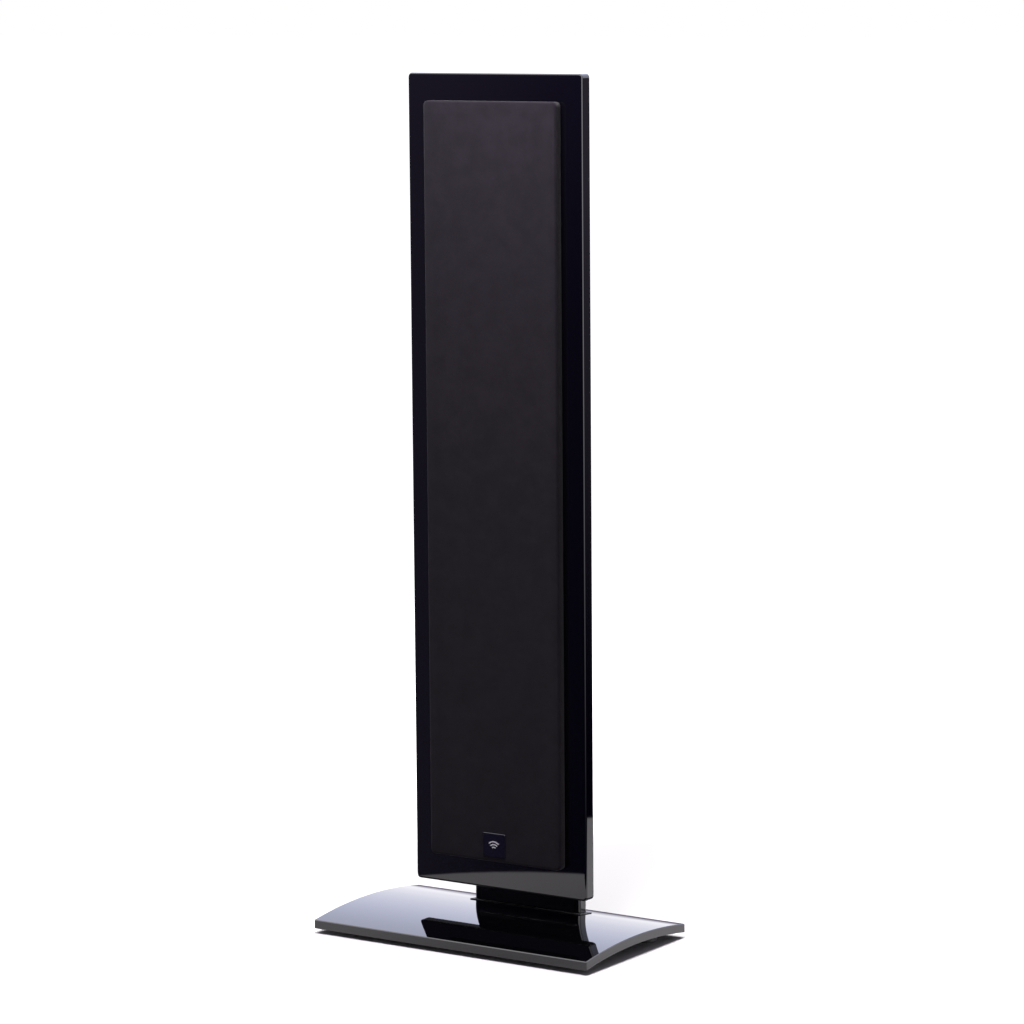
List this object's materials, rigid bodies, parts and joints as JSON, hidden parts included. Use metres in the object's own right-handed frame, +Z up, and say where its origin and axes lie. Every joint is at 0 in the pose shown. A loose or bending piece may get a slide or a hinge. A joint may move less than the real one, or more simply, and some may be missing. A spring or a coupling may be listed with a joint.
{
  "type": "floorstanding speaker",
  "caption": "Slim floorstanding loudspeaker: a flat gloss cabinet with a full-height cloth grille, on an upright and an arched plate foot.",
  "frame": {"origin": "on the floor, under the middle of the base plate", "axes": "+Z up along the cabinet's height, +Y from the grille to the back, +X to the right seen from the front"},
  "size_m": [0.3936, 0.2212, 1.0395],
  "materials": {
    "gloss_black": "mirror-polished black lacquer",
    "panel_lacquer": "high gloss black",
    "shell_black": "fine textured black",
    "column_black": "satin to gloss black",
    "cover_black": "fine textured black",
    "grille_cloth": "knitted acoustic cloth, black",
    "grille_plastic": "moulded black",
    "badge_black": "high gloss",
    "badge_silver": "polished",
    "rubber": "matte",
    "foam": "closed-cell foam",
    "wadding": "loose fibre",
    "brace_board": "sanded board",
    "zinc_steel": "zinc plated",
    "black_steel": "black oxide",
    "brass": "turned",
    "gold_plate": "gold plated",
    "red_plastic": "moulded red",
    "black_plastic": "moulded black",
    "cup_plastic": "moulded black",
    "board_green": "fibreglass laminate",
    "copper": "enamelled winding wire",
    "capacitor_film": "film wrapped",
    "ceramic_white": "cast cement",
    "lead_jacket": "vinyl jacket",
    "basket_cast": "cast, black coat",
    "roll_rubber": "butyl roll",
    "cone_metal": "satin anodised",
    "coil_former": "wound former",
    "spider_cloth": "resin-dipped cotton",
    "magnet_ferrite": "sintered",
    "dome_silk": "coated silk"
  },
  "bodies": {
    "cabinet_and_stand": {"base_plate": "gloss_black", "binding_posts": "gold_plate", "board_standoffs": "brass", "cabinet_braces": "brace_board", "cabinet_inserts": "brass", "cabinet_screws": "zinc_steel", "capacitors": "capacitor_film", "column": "column_black", "column_cover": "cover_black", "column_gasket": "rubber", "column_screws": "black_steel", "cover_screws": "black_steel", "crossover_board": "board_green", "damping_wadding": "wadding", "driver_leads": "lead_jacket", "driver_screws": "black_steel", "foot_pads": "rubber", "foot_screws": "zinc_steel", "front_panel": "panel_lacquer", "inductors": "copper", "input_leads": "lead_jacket", "midrange_basket": "basket_cast", "midrange_motor": "magnet_ferrite", "midrange_spider": "spider_cloth", "midrange_surround": "roll_rubber", "panel_gasket": "foam", "panel_screws": "black_steel", "peg_sockets": "rubber", "post_nuts": "brass", "rear_shell": "shell_black", "resistors": "ceramic_white", "terminal_cup": "cup_plastic", "terminal_screws": "black_steel", "tweeter_faceplate": "basket_cast", "tweeter_motor": "magnet_ferrite", "tweeter_surround": "dome_silk", "woofer_lower_basket": "basket_cast", "woofer_lower_motor": "magnet_ferrite", "woofer_lower_spider": "spider_cloth", "woofer_lower_surround": "roll_rubber", "woofer_upper_basket": "basket_cast", "woofer_upper_motor": "magnet_ferrite", "woofer_upper_spider": "spider_cloth", "woofer_upper_surround": "roll_rubber"},
    "grille": {"grille_frame": "grille_plastic", "grille_cloth": "grille_cloth", "badge": "badge_black", "badge_emblem": "badge_silver"},
    "tweeter_dome_assembly": {"tweeter_dome": "dome_silk"},
    "red_clamp_washer": {"red_washer": "gold_plate"},
    "black_clamp_washer": {"black_washer": "gold_plate"},
    "red_clamp_knob": {"red_knob": "red_plastic"},
    "black_clamp_knob": {"black_knob": "black_plastic"},
    "woofer_upper_diaphragm": {"woofer_upper_cone": "cone_metal", "woofer_upper_voice_coil": "coil_former"},
    "woofer_lower_diaphragm": {"woofer_lower_cone": "cone_metal", "woofer_lower_voice_coil": "coil_former"},
    "midrange_diaphragm": {"midrange_cone": "cone_metal", "midrange_voice_coil": "coil_former"}
  },
  "joints": [
    {"name": "grille_pull", "type": "slide", "parent": "cabinet_and_stand", "child": "grille", "axis": [0, -1, 0], "range_m": [0, 0.05]},
    {"name": "woofer_upper_travel", "type": "slide", "parent": "cabinet_and_stand", "child": "woofer_upper_diaphragm", "axis": [0, -1, 0], "range_m": [-0.004, 0.004], "stiffness_N_per_m": 1200, "deforming": ["woofer_upper_surround", "woofer_upper_spider"]},
    {"name": "woofer_lower_travel", "type": "slide", "parent": "cabinet_and_stand", "child": "woofer_lower_diaphragm", "axis": [0, -1, 0], "range_m": [-0.004, 0.004], "stiffness_N_per_m": 1200, "deforming": ["woofer_lower_surround", "woofer_lower_spider"]},
    {"name": "midrange_travel", "type": "slide", "parent": "cabinet_and_stand", "child": "midrange_diaphragm", "axis": [0, -1, 0], "range_m": [-0.003, 0.003], "stiffness_N_per_m": 1500, "deforming": ["midrange_surround", "midrange_spider"]},
    {"name": "tweeter_travel", "type": "slide", "parent": "cabinet_and_stand", "child": "tweeter_dome_assembly", "axis": [0, -1, 0], "range_m": [-0.0004, 0.0004], "stiffness_N_per_m": 900, "deforming": ["tweeter_surround"]},
    {"name": "red_washer_lift", "type": "slide", "parent": "cabinet_and_stand", "child": "red_clamp_washer", "axis": [0, 1, 0], "range_m": [0, 0.003]},
    {"name": "red_knob_turn", "type": "hinge", "parent": "red_clamp_washer", "child": "red_clamp_knob", "pos_m": [-0.00953, 0.052, 0.556], "axis": [0, 1, 0], "range_deg": [0, 1090]},
    {"name": "black_washer_lift", "type": "slide", "parent": "cabinet_and_stand", "child": "black_clamp_washer", "axis": [0, 1, 0], "range_m": [0, 0.003]},
    {"name": "black_knob_turn", "type": "hinge", "parent": "black_clamp_washer", "child": "black_clamp_knob", "pos_m": [0.00953, 0.052, 0.556], "axis": [0, 1, 0], "range_deg": [0, 1090]}
  ],
  "couplings": [
    {"joint": "red_knob_turn", "follows": "red_washer_lift", "rad_per_m": 6283.2},
    {"joint": "black_knob_turn", "follows": "black_washer_lift", "rad_per_m": 6283.2}
  ]
}
